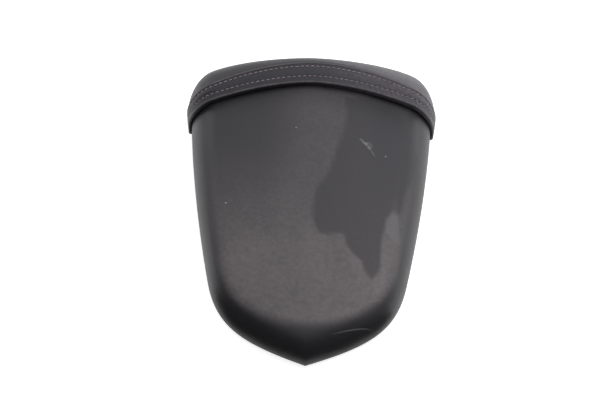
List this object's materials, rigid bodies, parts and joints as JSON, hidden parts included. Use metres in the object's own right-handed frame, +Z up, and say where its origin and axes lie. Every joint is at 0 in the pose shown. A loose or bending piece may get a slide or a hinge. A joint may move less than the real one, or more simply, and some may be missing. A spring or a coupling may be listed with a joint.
{
  "type": "motorcycle pillion seat",
  "caption": "Padded motorcycle pillion seat: smooth covered pad with a pointed tail, raised sewn roll at the front, moulded pan with hooks, rubber feet and latch striker.",
  "frame": {"origin": "middle of the seat's footprint on the floor plane under its rubber feet", "axes": "+Z up, +Y to the front of the motorcycle (the raised roll), -Y to the pointed tail, +X to the motorcycle's right"},
  "size_m": [0.251, 0.322, 0.0735],
  "materials": {
    "pan": "fine moulded grain, satin",
    "foam": "open moulded polyurethane foam skin",
    "top_vinyl": "smooth satin vinyl with a fine grain, handled and a little dusty",
    "band_vinyl": "grained satin vinyl",
    "front_vinyl": "smooth satin vinyl",
    "staple": "galvanised wire",
    "foot": "moulded rubber, matt",
    "striker": "zinc plated, rubbed where the latch closes",
    "plate": "zinc plated sheet",
    "bolt": "zinc plated",
    "washer": "zinc plated",
    "insert": "turned brass"
  },
  "bodies": {
    "root": {"base_pan": "pan", "foam_pad": "foam", "top_cover": "top_vinyl", "band_cover": "band_vinyl", "front_cover": "front_vinyl", "hem_staples": "staple", "foot_front_left": "foot", "foot_front_right": "foot", "foot_tail_left": "foot", "foot_tail_right": "foot", "striker_rod": "striker", "striker_plate": "plate", "striker_bolt_left": "bolt", "striker_bolt_right": "bolt", "bolt_washer_left": "washer", "bolt_washer_right": "washer", "threaded_insert_left": "insert", "threaded_insert_right": "insert"}
  },
  "joints": []
}
